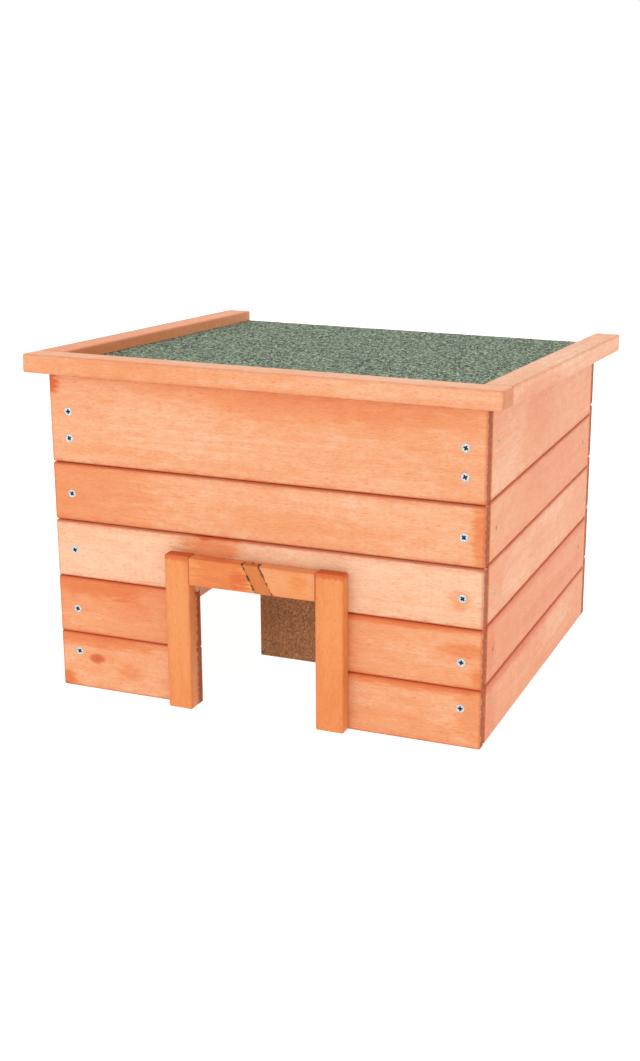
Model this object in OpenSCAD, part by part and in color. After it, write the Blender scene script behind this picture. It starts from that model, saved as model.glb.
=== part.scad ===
// Small-animal house: five courses of stained boards on corner posts, a framed doorway,
// an inner partition, and a lean-to roof that opens on two butt hinges along the rear wall.
// Millimetres, +Z up. The origin is the middle of the footprint, on the ground, and the doorway faces -Y.

/* [House] */
// Width across the outer faces of the side walls
house_w = 400; // [360:1:460]
// Depth from the front wall's face to the rear wall's face
house_d = 366; // [320:1:420]
// Height of one board course
course_h = 53.2; // [50:0.1:56]
// Thickness of every wall board
board_t = 10; // [8:0.5:12]
// Height of the bottom course of the rear wall, which is sawn from a wider board
rear_bottom_h = 62; // [54:1:66]

/* [Roof] */
// Fall of the roof towards the rear, in degrees
roof_pitch = 3.5; // [2:0.1:5]
// Height of the roof's underside at its front edge
roof_front_z = 294.4; // [285:0.1:310]
// How far the roof passes each side wall
side_overhang = 16; // [12:0.5:24]
// How far the roof passes the front wall
front_overhang = 16; // [13:0.5:24]
// How far the roof passes the rear wall
rear_overhang = 37; // [30:1:60]
// Height of the raised rim
rim_h = 16.5; // [14:0.5:20]
// Width of the side rims, seen from above
side_rim_w = 25; // [20:1:30]
// Width of the front rim, seen from above
front_rim_w = 28; // [22:1:32]

/* [Doorway] */
// Clear width between the door posts
door_w = 118; // [90:1:130]
// Clear height under the lintel
door_h = 117; // [110:1:122]
// Middle of the doorway, measured from the middle of the front wall
door_x = -3; // [-20:1:20]
// Width of the left door post
post_w = 23.5; // [18:0.5:30]
// Width of the right door post
post_right_w = 26; // [18:0.5:30]
// How far the door frame stands off the boards
post_t = 12; // [10:0.5:13]
// Height of the door posts
post_h = 143; // [142:1:156]

/* [Partition] */
// Distance from the front wall's face to the partition's face
partition_y = 134; // [110:1:160]
// Width of the gap that leads past the partition to the nest
passage_w = 129; // [100:1:150]
// Height of the partition
partition_h = 230; // [180:5:245]

/* [Hinges] */
// Distance of each hinge's middle from the middle of the rear wall
hinge_x = 100; // [60:5:130]
// Length of a hinge along its pin
hinge_len = 30; // [24:1:40]

/* [Hidden] */
COURSES = ["bottom", "lower", "middle", "upper", "top"];

pine = [0.96, 0.69, 0.51];
pine_pale = [0.97, 0.77, 0.62];
pine_deep = [0.95, 0.61, 0.38];
raw_wood = [0.85, 0.70, 0.52];
chipboard = [0.45, 0.31, 0.20];
felt_green = [0.36, 0.46, 0.37];
zinc = [0.78, 0.80, 0.82];

eps = 0.01;                                    // a cutting body runs this far past what it cuts
roof_span = front_overhang + house_d + rear_overhang;
roof_len = roof_span / cos(roof_pitch);        // along the slope
front_y = front_overhang - (roof_span + rim_h * sin(roof_pitch)) / 2;
rear_y = front_y + house_d;
roof_y = front_y - front_overhang;             // front edge of the roof
side_x = house_w / 2;
roof_half_w = side_x + side_overhang;
top_gap = 0.4;                                 // air between the wall tops and the closed roof

board_gap = 0.8;                               // joint between two courses
edge_r = 2.4;                                  // rounding of a board's outer long edges
end_chamfer = 1.2;                             // chamfer of a board's outer ends
corner_gap = 3;                                // shadow gap between the front boards and a side wall

corner_post_x = 16;                            // corner post section, along X and along Y
corner_post_y = 38;
screw_inset = board_t + corner_post_x / 2;     // wall screws run into the middle of a corner post
front_nail_y = front_y + 32;
rear_nail_y = rear_y - 35;

screw_d = 4;
screw_head_d = 7.6;
screw_l = 28;
small_screw_d = 3;
small_screw_head_d = 5.6;
hinge_screw_l = 9;
batten_screw_l = 14;
nail_d = 1.6;
nail_head_d = 5;
nail_head_t = 0.6;
fit = 0.08;                                     // clearance round every screw, nail and pin

lintel_h = 25;
lintel_top = door_h + lintel_h;
notch_top = door_h + 2;                        // the notch hides behind the lintel
post_left_x = door_x - door_w / 2 - post_w;
post_right_x = door_x + door_w / 2;

partition_t = 9;
partition_face_y = front_y + partition_y;
partition_x0 = -side_x + board_t + passage_w;
cleat_s = 16;                                  // section of the partition's cleat

panel_t = 4.5;
felt_t = 1.9;
rabbet_w = 13;                                 // how far the panel and felt run under the rim
rabbet_h = panel_t + felt_t + 0.1;
panel_half_w = roof_half_w - side_rim_w + rabbet_w - 0.2;
panel_y0 = front_rim_w - rabbet_w + 0.2;

batten_h = 12;
batten_w = 20;
batten_lead = 1.7;                             // the hinge batten starts this far in front of the pin
stiffener_h = 14;
stiffener_y = 196;                             // front of the cross batten, down the slope
leaf_t = 1.2;
leaf_w = 19;                                   // from the pin to a leaf's free edge
knuckle_r = 3;
pin_r = 1.4;
knuckle_gap = 0.2;                             // side clearance between two knuckles
pin_off = knuckle_r + 0.3;                     // from the pin to the wall, and to the batten above it
pin_y = rear_y + pin_off;
pin_slope_y = (pin_y - roof_y + (batten_h + pin_off) * sin(roof_pitch)) / cos(roof_pitch);
pin_z = roof_front_z - pin_slope_y * sin(roof_pitch) - (batten_h + pin_off) * cos(roof_pitch);

$fn = 32;

// ---- shared shapes ----

function arc(cx, cy, r, from, to, n = 5) =
    [for (i = [0 : n]) let (a = from + (to - from) * i / n) [cx + r * cos(a), cy + r * sin(a)]];

function roof_underside(y) = roof_front_z - (y - roof_y) * tan(roof_pitch);

// z where each course of the front and side walls begins, and the same for the rear wall
function course_z(i) = i * course_h;
function rear_course_z(i) = i == 0 ? 0 : rear_bottom_h + (i - 1) * (course_h - 0.2);

// A board lying along X: outer face at y = 0, inner face at y = t, its outer long edges rounded.
module plank(len, h, t = board_t, r = edge_r) {
    section = concat(arc(r, r, r, 270, 180), arc(r, h - r, r, 180, 90), [[t, h], [t, 0]]);
    c = end_chamfer;
    intersection() {
        rotate([90, 0, 90]) linear_extrude(len) polygon(section);
        translate([0, 0, -eps]) linear_extrude(h + 2 * eps)
            polygon([[c, 0], [len - c, 0], [len, c], [len, t + eps], [0, t + eps], [0, c]]);
    }
}

// Everything below the closed roof, less the gap that is asked for.
module below_roof(gap = top_gap) {
    y0 = roof_y - 20;
    y1 = rear_y + 60;
    rotate([90, 0, 90]) translate([0, 0, -house_w]) linear_extrude(2 * house_w)
        polygon([[y0, -1], [y1, -1], [y1, roof_underside(y1) - gap], [y0, roof_underside(y0) - gap]]);
}

// The roof's own frame: x across, y down the slope from its front edge, z up from its underside.
module on_roof() {
    translate([0, roof_y, roof_front_z]) rotate([-roof_pitch, 0, 0]) children();
}

// The same fastening seen from the front, rear, left and right: its head at the origin, pointing inwards.
module into_front() { rotate([-90, 0, 0]) children(); }
module into_rear() { rotate([90, 0, 0]) children(); }
module into_left() { rotate([0, 90, 0]) children(); }
module into_right() { rotate([0, -90, 0]) children(); }

// Countersunk cross-head screw along +Z, its head's face at z = 0.
module screw_solid(d, head_d, len, grow = 0) {
    r = d / 2 + grow;
    head_r = head_d / 2 + grow;
    rotate_extrude() polygon([
        [0, -grow], [head_r, -grow], [head_r, 0.4], [r, 0.4 + head_r - r],
        [r, len - 2 * r], [0, len + grow]
    ]);
}

module screw(d = screw_d, head_d = screw_head_d, len = screw_l) {
    slot_w = head_d * 0.14;
    slot_l = head_d * 0.56;
    difference() {
        screw_solid(d, head_d, len);
        for (turn = [0, 90]) rotate([0, 0, turn + 45])
            translate([-slot_l / 2, -slot_w / 2, -1]) cube([slot_l, slot_w, 1 + head_d * 0.2]);
    }
}

// The hole that a screw leaves, open to the outside at its head.
module screw_hole(d = screw_d, head_d = screw_head_d, len = screw_l) {
    screw_solid(d, head_d, len, fit);
    translate([0, 0, -2]) cylinder(h = 2, r = head_d / 2 + fit);
}

// Flat-headed wire nail along +Z, its head's face at z = 0.
module nail(len, d = nail_d, head_d = nail_head_d, grow = 0) {
    r = d / 2 + grow;
    rotate_extrude() polygon([
        [0, -grow], [head_d / 2 + grow, -grow], [head_d / 2 + grow, nail_head_t + grow],
        [r, nail_head_t + grow], [r, len - 2 * r], [0, len + grow]
    ]);
}

module nail_hole(len, d = nail_d, head_d = nail_head_d) {
    nail(len, d, head_d, fit);
    translate([0, 0, -2]) cylinder(h = 2, r = head_d / 2 + fit);
}

// ---- where the fastenings go ----

side_nail_l = 24;
frame_nail_l = 19;
partition_nail_l = 21;
cleat_nail_l = 23;
panel_nail_l = 13;
felt_nail_l = 5.5;
felt_nail_head_d = 5;

front_screw_z = [35, 76, 132, 184.5, 235, 259];
rear_screw_z = [36, 88, 141, 194, 246];
side_front_nail_z = [33, 80, 130, 186, 258];
side_rear_nail_z = [39, 82, 133, 190, 244];
pin_head_d = 2.2;                              // head of the finer nails, on every second board

// Runs its child at every wall screw of the front or rear wall, as seen on that wall.
module at_front_screws() {
    for (side = [-1, 1], z = front_screw_z)
        translate([side * (side_x - screw_inset), front_y, z]) into_front() children();
}

module at_rear_screws() {
    for (side = [-1, 1], z = rear_screw_z)
        translate([side * (side_x - screw_inset), rear_y, z]) into_rear() children();
}

module side_nails(side, hollow = false) {
    for (is_front = [true, false], i = [0 : 4]) {
        y = is_front ? front_nail_y : rear_nail_y;
        z = is_front ? side_front_nail_z[i] : side_rear_nail_z[i];
        head = i % 2 == 0 ? nail_head_d : pin_head_d;
        translate([side * side_x, y, z]) rotate([0, -side * 90, 0])
            if (hollow) nail_hole(side_nail_l, nail_d, head);
            else nail(side_nail_l, nail_d, head);
    }
}

// Nails from inside the house that hold the door frame on the boards.
module at_frame_nails() {
    post_mid = [post_left_x + post_w / 2, post_right_x + post_right_w / 2];
    for (x = post_mid, z = [26, 80, 128])
        translate([x, front_y + board_t, z]) into_rear() children();
    for (x = [-35, 35])
        translate([door_x + x, front_y + board_t, (notch_top + lintel_top) / 2]) into_rear() children();
}

// Nails through the partition into its cleat, and through the cleat into the right wall.
module at_partition_nails() {
    for (z = [30, 115, 200])
        translate([side_x - board_t - cleat_s / 2, partition_face_y, z]) into_front() children();
}

module at_cleat_nails() {
    for (z = [70, 160])
        translate([side_x - board_t - cleat_s, partition_face_y + partition_t + cleat_s / 2, z])
            into_left() children();
}

// Nails up through the roof panel into the rim.
module at_panel_nails() {
    for (side = [-1, 1], y = [60, 170, 280, 390])
        translate([side * (roof_half_w - side_rim_w + rabbet_w / 2), y, 0]) children();
    for (x = [-150, -50, 50, 150])
        translate([x, front_rim_w - rabbet_w / 2, 0]) children();
}

// Screws down through the panel into the two battens under it, hidden by the felt.
module at_batten_screws() {
    for (x = [-135, -45, 45, 135], y = [stiffener_y, pin_slope_y - batten_lead])
        translate([x, y + batten_w / 2, panel_t]) rotate([180, 0, 0]) children();
}

// Clout nails beside the side rims, a little in front of the felt's rear edge.
module at_felt_nails() {
    for (side = [-1, 1])
        translate([side * (roof_half_w - side_rim_w - 3.6), roof_len - 41, panel_t + felt_t])
            rotate([180, 0, 0]) children();
}

// ---- walls ----

module side_board(side, i) {
    is_top = i == 4;
    z0 = course_z(i);
    h = is_top ? roof_front_z - z0 : course_h - board_gap;
    y0 = front_y + board_t + corner_gap;
    len = rear_y - board_t - 0.3 - y0;
    color(i % 2 == 0 ? pine : pine_pale) difference() {
        intersection() {
            translate([side * side_x, side > 0 ? y0 : y0 + len, z0]) rotate([0, 0, side * 90])
                plank(len, h);
            below_roof();
        }
        side_nails(side, true);
        if (side > 0) at_cleat_nails() nail_hole(cleat_nail_l);
    }
}

module rear_board(i) {
    z0 = rear_course_z(i);
    z1 = i == 4 ? roof_front_z : rear_course_z(i + 1) - board_gap;
    color(i % 2 == 0 ? pine : pine_pale) difference() {
        intersection() {
            translate([side_x, rear_y, z0]) rotate([0, 0, 180]) plank(house_w, z1 - z0);
            below_roof();
        }
        at_rear_screws() screw_hole();
        at_hinge_wall_screws() hinge_screw_hole();
    }
}

// A full-width front board; the middle one is notched over the doorway.
module front_board(i, tint) {
    z0 = course_z(i);
    h = i == 4 ? roof_front_z - z0 : course_h - board_gap;
    color(tint) difference() {
        intersection() {
            translate([-side_x, front_y, z0]) plank(house_w, h);
            below_roof();
        }
        if (i == 2)
            translate([door_x - door_w / 2, front_y - 1, z0 - 1])
                cube([door_w, board_t + 2, notch_top - z0 + 1]);
        at_front_screws() screw_hole();
        if (i == 2) at_frame_nails() nail_hole(frame_nail_l);
    }
}

// A short front board beside the doorway.
module front_short_board(i, side, tint) {
    edge = door_x + side * door_w / 2;
    len = side_x - side * edge;
    color(tint) difference() {
        translate([side < 0 ? -side_x : edge, front_y, course_z(i)]) plank(len, course_h - board_gap);
        at_front_screws() screw_hole();
        at_frame_nails() nail_hole(frame_nail_l);
    }
}

module corner_post(side, is_front) {
    y0 = is_front ? front_y + board_t : rear_y - board_t - corner_post_y;
    x0 = side > 0 ? side_x - board_t - corner_post_x : -side_x + board_t;
    color(raw_wood) difference() {
        intersection() {
            translate([x0, y0, 0]) cube([corner_post_x, corner_post_y, roof_front_z]);
            below_roof(3);
        }
        if (is_front) at_front_screws() screw_hole();
        else at_rear_screws() screw_hole();
        side_nails(side, true);
    }
}

// ---- doorway ----

// A post is a square batten whose top is rounded off on three sides.
module door_post(x0, w) {
    round_r = 4;
    section = concat([[0, 0]], arc(round_r, post_h - round_r, round_r, 180, 90),
                     [[post_t, post_h], [post_t, 0]]);
    face = concat([[0, 0]], arc(2, post_h - 2, 2, 180, 90),
                  arc(w - 2, post_h - 2, 2, 90, 0), [[w, 0]]);
    color(pine_deep) difference() {
        intersection() {
            translate([x0, front_y - post_t, 0]) rotate([90, 0, 90])
                linear_extrude(w) polygon(section);
            translate([x0, front_y + eps, 0]) rotate([90, 0, 0])
                linear_extrude(post_t + 2 * eps) polygon(face);
        }
        at_frame_nails() nail_hole(frame_nail_l);
    }
}

patch_depth = 7;

// The patch's outline on the lintel's face, in X and Z, leaning with the grain it replaces.
module patch_outline(grow = 0) {
    top = [-8.5, 7];
    foot = [4.2, 20.2];
    polygon([
        [door_x + foot[0] - grow, door_h - grow], [door_x + foot[1] + grow, door_h - grow],
        [door_x + top[1] + grow, lintel_top + grow], [door_x + top[0] - grow, lintel_top + grow]
    ]);
}

module door_lintel() {
    color(pine_deep) difference() {
        translate([door_x - door_w / 2, front_y - post_t, door_h]) plank(door_w, lintel_h, post_t, 1);
        translate([0, front_y - post_t + patch_depth, 0]) rotate([90, 0, 0])
            linear_extrude(patch_depth + 1) patch_outline(0.15);
        at_frame_nails() nail_hole(frame_nail_l);
    }
}

module lintel_patch() {
    color(raw_wood)
        translate([0, front_y - post_t + patch_depth - 0.05, 0]) rotate([90, 0, 0])
            linear_extrude(patch_depth - 0.15) patch_outline();
}

// ---- partition ----

module partition_panel() {
    color(chipboard) difference() {
        translate([partition_x0, partition_face_y, 0])
            cube([side_x - board_t - partition_x0, partition_t, partition_h]);
        at_partition_nails() nail_hole(partition_nail_l);
    }
}

module partition_cleat() {
    color(raw_wood) difference() {
        translate([side_x - board_t - cleat_s, partition_face_y + partition_t, 0])
            cube([cleat_s, cleat_s, partition_h]);
        at_partition_nails() nail_hole(partition_nail_l);
        at_cleat_nails() nail_hole(cleat_nail_l);
    }
}

// ---- roof ----

module batten_screw_hole() { screw_hole(small_screw_d, small_screw_head_d, batten_screw_l); }

module roof_panel() {
    color(raw_wood) on_roof() difference() {
        translate([-panel_half_w, panel_y0, 0]) cube([2 * panel_half_w, roof_len - 3 - panel_y0, panel_t]);
        at_batten_screws() batten_screw_hole();
        at_panel_nails() nail_hole(panel_nail_l);
        at_felt_nails() nail_hole(felt_nail_l, nail_d, felt_nail_head_d);
    }
}

module roof_felt() {
    color(felt_green) on_roof() difference() {
        translate([-panel_half_w, panel_y0, panel_t]) cube([2 * panel_half_w, roof_len - panel_y0, felt_t]);
        at_panel_nails() nail_hole(panel_nail_l);
        at_felt_nails() nail_hole(felt_nail_l, nail_d, felt_nail_head_d);
    }
}

// A rim batten along X: its top long edges rounded, square below.
module rim_batten(len, w) {
    r = 1.5;
    rotate([90, 0, 90]) linear_extrude(len)
        polygon(concat([[0, 0]], arc(r, rim_h - r, r, 180, 90), arc(w - r, rim_h - r, r, 90, 0), [[w, 0]]));
}

module roof_rim_front() {
    color(pine) on_roof() difference() {
        translate([-roof_half_w, 0, 0]) rim_batten(2 * roof_half_w, front_rim_w);
        translate([-panel_half_w - 0.2, front_rim_w - rabbet_w, -1])
            cube([2 * panel_half_w + 0.4, rabbet_w + 1, rabbet_h + 1]);
        at_panel_nails() nail_hole(panel_nail_l);
    }
}

module roof_rim_side(side) {
    len = roof_len - front_rim_w - 0.4;
    inner_x = roof_half_w - side_rim_w;
    color(pine_pale) on_roof() difference() {
        translate([side * roof_half_w, side > 0 ? roof_len - len : roof_len, 0]) rotate([0, 0, side * 90])
            rim_batten(len, side_rim_w);
        translate([side > 0 ? inner_x - 1 : -inner_x - rabbet_w, front_rim_w - 1, -1])
            cube([rabbet_w + 1, roof_len, rabbet_h + 1]);
        at_panel_nails() nail_hole(panel_nail_l);
    }
}

// Batten under the rear eave that takes the hinge screws.
module roof_hinge_batten() {
    len = 2 * hinge_x + 100;
    color(raw_wood) difference() {
        on_roof() translate([-len / 2, pin_slope_y - batten_lead, -batten_h])
            cube([len, batten_w, batten_h]);
        at_hinge_roof_screws() hinge_screw_hole();
        on_roof() at_batten_screws() batten_screw_hole();
    }
}

// Stiffener under the middle of the panel, inside the walls.
module roof_cross_batten() {
    len = house_w - 2 * board_t - 8;
    color(raw_wood) on_roof() difference() {
        translate([-len / 2, stiffener_y, -stiffener_h]) cube([len, batten_w, stiffener_h]);
        at_batten_screws() batten_screw_hole();
    }
}

// ---- hinges ----

// Hinge parts are drawn about the pin: x along it, y and z across it.
module at_pin(x) { translate([x, pin_y, pin_z]) children(); }

module tube_x(x0, x1, r) { translate([x0, 0, 0]) rotate([0, 90, 0]) cylinder(h = x1 - x0, r = r); }

hinge_hole_x = hinge_len / 2 - 7;
hinge_hole_reach = 12;                         // from the pin to the screw holes in a leaf

module hinge_screw_hole() { screw_hole(small_screw_d, small_screw_head_d, hinge_screw_l); }

module at_hinge_wall_screws() {
    for (side = [-1, 1], x = [-hinge_hole_x, hinge_hole_x])
        translate([side * hinge_x + x, rear_y + leaf_t, pin_z - hinge_hole_reach]) into_rear() children();
}

module at_hinge_roof_screws() {
    for (side = [-1, 1], x = [-hinge_hole_x, hinge_hole_x]) on_roof()
        translate([side * hinge_x + x, pin_slope_y + hinge_hole_reach, -batten_h - leaf_t]) children();
}

third = hinge_len / 6;                         // half the length of the middle knuckle
outer_l = hinge_len / 2 - third;               // length of each outer knuckle, with its side gap

// The room that the wall leaf's outer knuckles need to turn in.
module outer_room() {
    for (x0 = [-hinge_len / 2 - 1, third]) tube_x(x0, x0 + outer_l + 1, knuckle_r + 0.4);
}

// The leaf on the rear wall, with the two outer knuckles.
module hinge_wall_leaf(side) {
    color(zinc) difference() {
        at_pin(side * hinge_x) difference() {
            union() {
                translate([-hinge_len / 2, -pin_off, -leaf_w]) cube([hinge_len, leaf_t, leaf_w]);
                for (x0 = [-hinge_len / 2, third + knuckle_gap])
                    tube_x(x0, x0 + outer_l - knuckle_gap, knuckle_r);
            }
            tube_x(-hinge_len, hinge_len, pin_r + fit);
            tube_x(-third - knuckle_gap, third + knuckle_gap, knuckle_r + 0.4);
        }
        at_hinge_wall_screws() hinge_screw_hole();
    }
}

// The leaf under the roof's hinge batten, with the middle knuckle.
module hinge_roof_leaf(side) {
    color(zinc) difference() {
        at_pin(side * hinge_x) rotate([-roof_pitch, 0, 0]) difference() {
            union() {
                translate([-hinge_len / 2, 0, pin_off - leaf_t]) cube([hinge_len, leaf_w, leaf_t]);
                tube_x(-third, third, knuckle_r);
            }
            tube_x(-hinge_len, hinge_len, pin_r + fit);
            outer_room();
        }
        at_hinge_roof_screws() hinge_screw_hole();
    }
}

module hinge_pin(side) { color(zinc) at_pin(side * hinge_x) tube_x(-hinge_len / 2, hinge_len / 2, pin_r); }

// ---- nodes ----

for (i = [0 : 4]) {
    side_board(-1, i);
    side_board(1, i);
    rear_board(i);
}
front_short_board(0, -1, pine);  // front_board_bottom_left
front_short_board(0, 1, pine);  // front_board_bottom_right
front_short_board(1, -1, pine_deep);  // front_board_lower_left
front_short_board(1, 1, pine);  // front_board_lower_right
front_board(2, pine_pale);  // front_board_middle
front_board(3, pine);  // front_board_upper
front_board(4, pine);  // front_board_top
corner_post(-1, true);  // corner_post_front_left
corner_post(1, true);  // corner_post_front_right
corner_post(-1, false);  // corner_post_rear_left
corner_post(1, false);  // corner_post_rear_right
door_post(post_left_x, post_w);  // door_post_left
door_post(post_right_x, post_right_w);  // door_post_right
door_lintel();
lintel_patch();
partition_panel();
partition_cleat();
color(zinc) at_front_screws() screw();  // front_wall_screws
color(zinc) at_rear_screws() screw();  // rear_wall_screws
color(zinc) side_nails(-1);  // left_wall_nails
color(zinc) side_nails(1);  // right_wall_nails
color(zinc) at_frame_nails() nail(frame_nail_l);  // door_frame_nails
color(zinc) {  // partition_nails
    at_partition_nails() nail(partition_nail_l);
    at_cleat_nails() nail(cleat_nail_l);
}
roof_panel();
roof_felt();
roof_rim_front();
roof_rim_side(-1);  // roof_rim_left
roof_rim_side(1);  // roof_rim_right
roof_hinge_batten();
roof_cross_batten();
color(zinc) on_roof() at_batten_screws() screw(small_screw_d, small_screw_head_d, batten_screw_l);  // roof_batten_screws
color(zinc) on_roof() at_panel_nails() nail(panel_nail_l);  // roof_panel_nails
color(zinc) on_roof() at_felt_nails() nail(felt_nail_l, nail_d, felt_nail_head_d);  // roof_felt_nails
hinge_wall_leaf(-1);  // hinge_left_wall_leaf
hinge_wall_leaf(1);  // hinge_right_wall_leaf
hinge_roof_leaf(-1);  // hinge_left_roof_leaf
hinge_roof_leaf(1);  // hinge_right_roof_leaf
hinge_pin(-1);  // hinge_left_pin
hinge_pin(1);  // hinge_right_pin
color(zinc) at_hinge_wall_screws() screw(small_screw_d, small_screw_head_d, hinge_screw_l);  // hinge_wall_screws
color(zinc) at_hinge_roof_screws() screw(small_screw_d, small_screw_head_d, hinge_screw_l);  // hinge_roof_screws
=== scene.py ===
# %% [markdown]
# # A boarded animal house with a felted roof
#
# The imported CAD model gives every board, post, screw and hinge its place and size. This lesson makes
# the parts that are seen: stained boards cut one by one, zinc screws, mineral felt, and the light.
# Everything is in metres. Each step first says what the piece is and why it is made in this way.

# %% Load the frame
import math
import random

import bmesh
import bpy
import numpy as np
from mathutils import Matrix, Vector


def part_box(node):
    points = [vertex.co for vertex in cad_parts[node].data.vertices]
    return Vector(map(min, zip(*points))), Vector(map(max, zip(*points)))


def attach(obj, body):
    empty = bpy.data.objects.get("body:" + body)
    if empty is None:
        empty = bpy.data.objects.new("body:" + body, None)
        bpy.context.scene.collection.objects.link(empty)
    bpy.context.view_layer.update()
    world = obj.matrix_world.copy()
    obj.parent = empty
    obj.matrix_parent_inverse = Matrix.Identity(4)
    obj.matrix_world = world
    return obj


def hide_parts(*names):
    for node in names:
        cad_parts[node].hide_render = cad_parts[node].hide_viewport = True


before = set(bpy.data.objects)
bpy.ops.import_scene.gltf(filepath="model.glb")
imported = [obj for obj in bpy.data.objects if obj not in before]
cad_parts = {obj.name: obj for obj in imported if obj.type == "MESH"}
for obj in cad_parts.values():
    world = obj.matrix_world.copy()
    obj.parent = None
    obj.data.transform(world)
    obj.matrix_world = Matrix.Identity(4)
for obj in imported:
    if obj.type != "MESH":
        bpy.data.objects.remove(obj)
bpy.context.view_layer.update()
MM = 0.001

# %% [markdown]
# ## Reading places from the frame
#
# Walls are level, but the roof slopes, so a box along X, Y and Z is too big for a sloping rim. The roof's
# pieces are measured in the roof's own frame instead: the felt's top face gives the slope, and turning the
# points back by it gives a tight box. A node that holds many screws is split into its loose solids, and
# each solid's end face is where a screw head goes.

# %% Boxes in a turned frame
def points_of(node):
    """The CAD node's corner points at rest, as an array."""
    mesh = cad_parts[node].data
    points = np.empty(len(mesh.vertices) * 3, np.float32)
    mesh.vertices.foreach_get("co", points)
    return points.reshape(-1, 3)


def felt_slope():
    """The roof's fall towards the rear, in radians, from the felt's largest upward face."""
    faces = [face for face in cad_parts["roof_felt"].data.polygons if face.normal.z > 0.9]
    normal = max(faces, key=lambda face: face.area).normal
    return math.atan2(normal.y, normal.z)


SLOPE = felt_slope()
LEVEL = Matrix.Identity(3)
ON_ROOF = Matrix.Rotation(-SLOPE, 3, "X")


def turned_box(node, turn=LEVEL):
    """(lowest, highest) corner of a CAD node along the axes that turn gives."""
    points = points_of(node) @ np.array(turn)
    return Vector(points.min(0)), Vector(points.max(0))


print("roof slope, degrees:", round(math.degrees(SLOPE), 2))

# %% Fastener places
def loose_solids(node):
    """The points of each separate solid in a CAD node."""
    mesh = bmesh.new()
    mesh.from_mesh(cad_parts[node].data)
    bmesh.ops.remove_doubles(mesh, verts=mesh.verts, dist=1e-6)
    mesh.verts.ensure_lookup_table()
    seen, solids = set(), []
    for start in mesh.verts:
        if start.index in seen:
            continue
        seen.add(start.index)
        reach, found = [start], []
        while reach:
            vert = reach.pop()
            found.append(tuple(vert.co))
            for edge in vert.link_edges:
                other = edge.other_vert(vert)
                if other.index not in seen:
                    seen.add(other.index)
                    reach.append(other)
        solids.append(np.array(found))
    mesh.free()
    return solids


def shank_axis(solid):
    """The axis a fastener lies along: its other two sizes are both its head's width."""
    size = np.ptp(solid, axis=0)
    return min(range(3), key=lambda i: abs(size[i - 1] - size[i - 2]))


def heads_of(node, outward):
    """The middle of each head, for the fasteners of a node whose heads face outward."""
    outward = np.array(outward, float)
    places = []
    for solid in loose_solids(node):
        if abs(outward[shank_axis(solid)]) > 0.9:
            middle = (solid.min(0) + solid.max(0)) / 2
            places.append(Vector(middle + outward * ((solid @ outward).max() - middle @ outward)))
    return places


FRONT, REAR, LEFT, RIGHT = (0, -1, 0), (0, 1, 0), (-1, 0, 0), (1, 0, 0)
ROOF_UP = tuple(ON_ROOF @ Vector((0, 0, 1)))
ROOF_DOWN = tuple(-Vector(ROOF_UP))
front_heads = heads_of("front_wall_screws", FRONT)
rear_heads = heads_of("rear_wall_screws", REAR)
print("screws on the front and rear walls:", len(front_heads), len(rear_heads))

# %% [markdown]
# ## Arithmetic on sockets
#
# A material or a geometry tree is a graph of nodes, and a long formula in it is hard to read when every
# node is made by hand. Here an output socket is wrapped in a small class, so that `1 - mask * 0.5` is
# written as plain arithmetic and adds its own Math nodes. Every other node comes from one method, which
# sets the node's own settings first and then its inputs.

# %% A wrapped socket and a graph
class Wire:
    """An output socket that can be used in arithmetic."""

    def __init__(self, graph, socket):
        self.graph, self.socket = graph, socket


def arithmetic(operation, swapped=False):
    """The method behind one operator. A swapped one has the wire on the operator's right."""
    def method(self, other):
        first, second = (other, self) if swapped else (self, other)
        return self.graph.math(operation, first, second)
    return method


for sign, operation in (("add", "ADD"), ("sub", "SUBTRACT"), ("mul", "MULTIPLY"), ("truediv", "DIVIDE")):
    setattr(Wire, f"__{sign}__", arithmetic(operation))
    setattr(Wire, f"__r{sign}__", arithmetic(operation, swapped=True))
for sign, operation in (("pow", "POWER"), ("gt", "GREATER_THAN")):
    setattr(Wire, f"__{sign}__", arithmetic(operation))


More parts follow.
